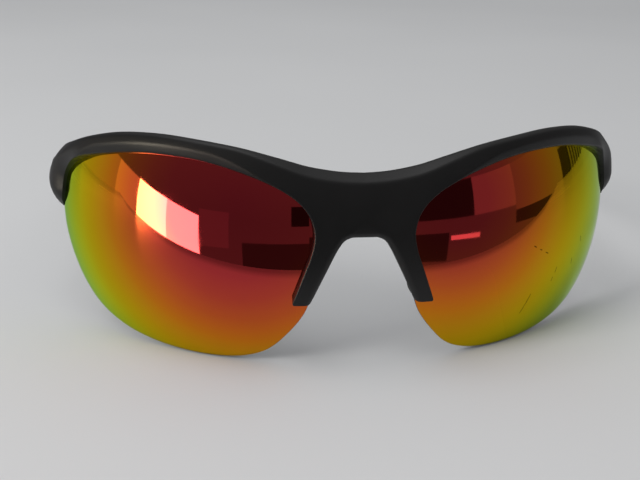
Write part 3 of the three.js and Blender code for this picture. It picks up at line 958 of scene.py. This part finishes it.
def make_nose_pad(side):
    """A soft pad with round ends and shallow grooves, on a thin rib of the front."""
    end = np.linspace(0, 1, 12)
    ramp = PAD_END * (1 - np.cos(end * math.pi / 2))
    closing = np.maximum(np.sin(end * math.pi / 2), 0.05)
    body = np.linspace(ramp[-1], 1 - ramp[-1], 70)[1:-1]
    shares = np.concatenate([ramp, body, 1 - ramp[::-1]])
    scale = np.concatenate([closing, np.ones(len(body)), closing[::-1]])
    groove = 0.5 - 0.5 * np.cos(2 * math.pi * shares * PAD_GROOVES)
    middle = smoothstep(shares, 0.2, 0.3) * (1 - smoothstep(shares, 0.7, 0.8))
    inset = PAD_GROOVE_DEPTH * groove ** 4 * middle
    ones = np.ones((len(shares), 1))
    rings = swept(
        route(PAD_PATH, shares), ones * [1, 0, 0], ones * [0, 1, 0], section(40, 2.7, 2.7),
        PAD_WIDTH * scale - 2 * inset, PAD_DEPTH * scale,
    )
    made = add_side_piece("soft_nose_pad", side, *lofted(rings), RUBBER, "rubber", "front")
    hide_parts(f"nose_pad_{side}")

    shares = np.linspace(RIB_MARGIN, 1 - RIB_MARGIN, 24)
    ones = np.ones((len(shares), 1))
    rings = swept(
        route(PAD_PATH, shares) - [0, RIB_FORWARD, 0], ones * [1, 0, 0], ones * [0, 1, 0],
        section(28, 5.0, 5.0), np.full(len(shares), RIB_WIDTH), np.full(len(shares), RIB_DEPTH),
    )
    add_side_piece("nose_pad_rib", side, *lofted(rings), FRAME_PLASTIC, "frame", "front")


# ---------- stage ----------

STUDIO_RADIUS = 2.5
WALL_TILT = 0.26                # slope of the top edge of the lit wall and the window
WALL_PEAK = -131.0              # azimuth where that edge is highest

# What stands round the table and is seen only in reflections, set where the photo's lenses show
# its room: azimuth range (0 is straight in front, negative is the viewer's left), elevation range
# (None: up to the wall's edge), and light.
STUDIO_PANELS = [
    ("window_bright", (-76, -60), (-16, None), (20.0, 18.0, 14.0)),
    ("window_dim", (-60, -44), (-16, None), (10.5, 8.5, 7.5)),
    ("lit_wall", (-90, -76), (-16, None), (0.85, 0.76, 0.66)),
    ("dim_wall", (-118, -90), (-16, None), (0.50, 0.45, 0.40)),
    ("curtain", (-44, -30), (-12, 4), (0.22, 0.20, 0.21)),
    ("dark_post", (-2, 6), (-1, 8), (0.02, 0.02, 0.02)),
    ("dark_shelf", (11, 38), (0, 16), (0.03, 0.03, 0.03)),
    ("pale_door", (38, 60), (0, 16), (0.32, 0.31, 0.29)),
    ("side_wall", (60, 92), (-2, 16), (0.22, 0.21, 0.20)),
    ("side_skirting", (60, 92), (-7, -2), (0.04, 0.04, 0.04)),
    ("dark_corner", (92, 99), (-7, 9), (0.03, 0.03, 0.03)),
    ("bright_gap", (27, 41), (-9.5, -7.5), (1.5, 1.2, 1.2)),
    ("dark_seat", (6, 26), (-19, -6), (0.04, 0.045, 0.04)),
    ("dark_chair", (-24, 6), (-22, -9), (0.05, 0.055, 0.05)),
]
SLATS = 6                       # upright slats of a blind past the dark corner
SLAT_START = 99.0
SLAT_PITCH = 2.4
SLAT_SPAN = (-9, 8)
SLAT_LIGHT = (0.02, 0.02, 0.02)


# The room's grey by height, from straight down to straight up.
WORLD_STOPS = [(0.0, 0.15), (0.42, 0.19), (0.62, 0.40), (1.0, 0.75)]


def glow(name, colour):
    """A plain glowing material."""
    material = bpy.data.materials.new(name)
    material.use_nodes = True
    tree = material.node_tree
    tree.nodes.clear()
    emission = tree.nodes.new("ShaderNodeEmission")
    output = tree.nodes.new("ShaderNodeOutputMaterial")
    emission.inputs["Color"].default_value = (*colour, 1)
    tree.links.new(emission.outputs[0], output.inputs["Surface"])
    return material


def studio_panel(name, azimuths, elevations, colour):
    """A patch of a wide sphere round the object, seen only by reflections."""
    low, high = elevations
    steps = max(2, round((azimuths[1] - azimuths[0]) / 2) + 1)
    columns = np.radians(np.linspace(*azimuths, steps))
    points = []
    for azimuth in columns:
        top = math.radians(high) if high is not None else math.atan(
            WALL_TILT * math.cos(azimuth - math.radians(WALL_PEAK))
        )
        for elevation in (math.radians(low), top):
            points.append((
                STUDIO_RADIUS * math.sin(azimuth) * math.cos(elevation),
                -STUDIO_RADIUS * math.cos(azimuth) * math.cos(elevation),
                STUDIO_RADIUS * math.sin(elevation),
            ))
    faces = [(2 * i, 2 * i + 2, 2 * i + 3, 2 * i + 1) for i in range(len(columns) - 1)]
    made = mesh_object(name, points, faces, materials=[glow(name, colour)])
    reflections_only(made)


def flat_sheet(name, low, high, z, material):
    body = bmesh.new()
    corners = [(low[0], low[1]), (high[0], low[1]), (high[0], high[1]), (low[0], high[1])]
    body.faces.new([body.verts.new((x, y, z)) for x, y in corners])
    mesh = bpy.data.meshes.new(name)
    body.to_mesh(mesh)
    body.free()
    mesh.materials.append(material)
    made = bpy.data.objects.new(name, mesh)
    bpy.context.scene.collection.objects.link(made)
    return made


def reflections_only(made):
    made.visible_camera = False
    made.visible_diffuse = False
    made.visible_shadow = False


def make_table():
    """A plain pale floor, and a table top with a near edge that only reflections show."""
    floor = flat_sheet("floor", (-6, -6), (6, 6), -0.0003, floor_paint())
    floor.visible_glossy = False
    table = flat_sheet("table", (-3, TABLE_EDGE_Y), (3, 3), -0.0001, table_top())
    reflections_only(table)


def area_light(name, spot, aim, width, height, power, colour=(1, 1, 1)):
    light = bpy.data.lights.new(name, "AREA")
    light.shape = "RECTANGLE"
    light.size = width
    light.size_y = height
    light.energy = power
    light.color = colour
    made = bpy.data.objects.new(name, light)
    made.location = spot
    made.rotation_mode = "QUATERNION"
    made.rotation_quaternion = (Vector(aim) - Vector(spot)).to_track_quat("-Z", "Y")
    bpy.context.scene.collection.objects.link(made)
    return made


def make_world():
    """Soft light from above, and a dim room round the table."""
    world = bpy.data.worlds.new("studio")
    bpy.context.scene.world = world
    world.use_nodes = True
    tree = world.node_tree
    background = tree.nodes["Background"]
    coordinates = tree.nodes.new("ShaderNodeTexCoord")
    split = tree.nodes.new("ShaderNodeSeparateXYZ")
    ramp = tree.nodes.new("ShaderNodeValToRGB")
    elements = ramp.color_ramp.elements
    while len(elements) < len(WORLD_STOPS):
        elements.new(0.5)
    for element, (position, grey) in zip(elements, WORLD_STOPS):
        element.position = position
        element.color = (grey, grey, grey, 1)
    tree.links.new(coordinates.outputs["Generated"], split.inputs[0])
    tree.links.new(split.outputs["Z"], ramp.inputs["Fac"])
    tree.links.new(ramp.outputs["Color"], background.inputs["Color"])
    background.inputs["Strength"].default_value = 1.0


def make_lights():
    overhead = area_light("overhead", (-0.25, -0.1, 1.1), (0, 0.02, 0), 0.7, 0.7, 2.2)
    key = area_light("key", (-0.75, -0.45, 0.5), (0, 0, 0.02), 0.35, 0.35, 3.4, (1, 0.98, 0.95))
    overhead.visible_glossy = True
    key.visible_glossy = False


def make_camera():
    camera = bpy.data.cameras.new("camera")
    camera.lens = CAMERA_LENS
    camera.sensor_width = 36.0
    camera.clip_start = 0.005
    made = bpy.data.objects.new("camera", camera)
    forward = CAMERA_FORWARD.normalized()
    right = forward.cross(CAMERA_UP).normalized()
    up = right.cross(forward)
    turn = Matrix((right, up, -forward)).transposed()
    made.matrix_world = Matrix.Translation(CAMERA_PLACE) @ turn.to_4x4()
    bpy.context.scene.collection.objects.link(made)
    bpy.context.scene.camera = made


def repaint(names, material):
    for name in names:
        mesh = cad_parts[name].data
        mesh.materials.clear()
        mesh.materials.append(material)


make_camera()
make_table()
make_world()
make_lights()
for panel in STUDIO_PANELS:
    studio_panel(*panel)
for slat in range(SLATS):
    slat_edge = SLAT_START + slat * SLAT_PITCH
    studio_panel(f"slat_{slat + 1}", (slat_edge, slat_edge + SLAT_PITCH / 2), SLAT_SPAN, SLAT_LIGHT)
bpy.context.scene.view_settings.view_transform = "Standard"

make_front()
for side in ("right", "left"):
    make_lens(side)
    make_temple(side)
    make_grip(side)
    make_nose_pad(side)
steel_nodes = [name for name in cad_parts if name.startswith("hinge_") or "_screw_" in name]
repaint(steel_nodes, STEEL)
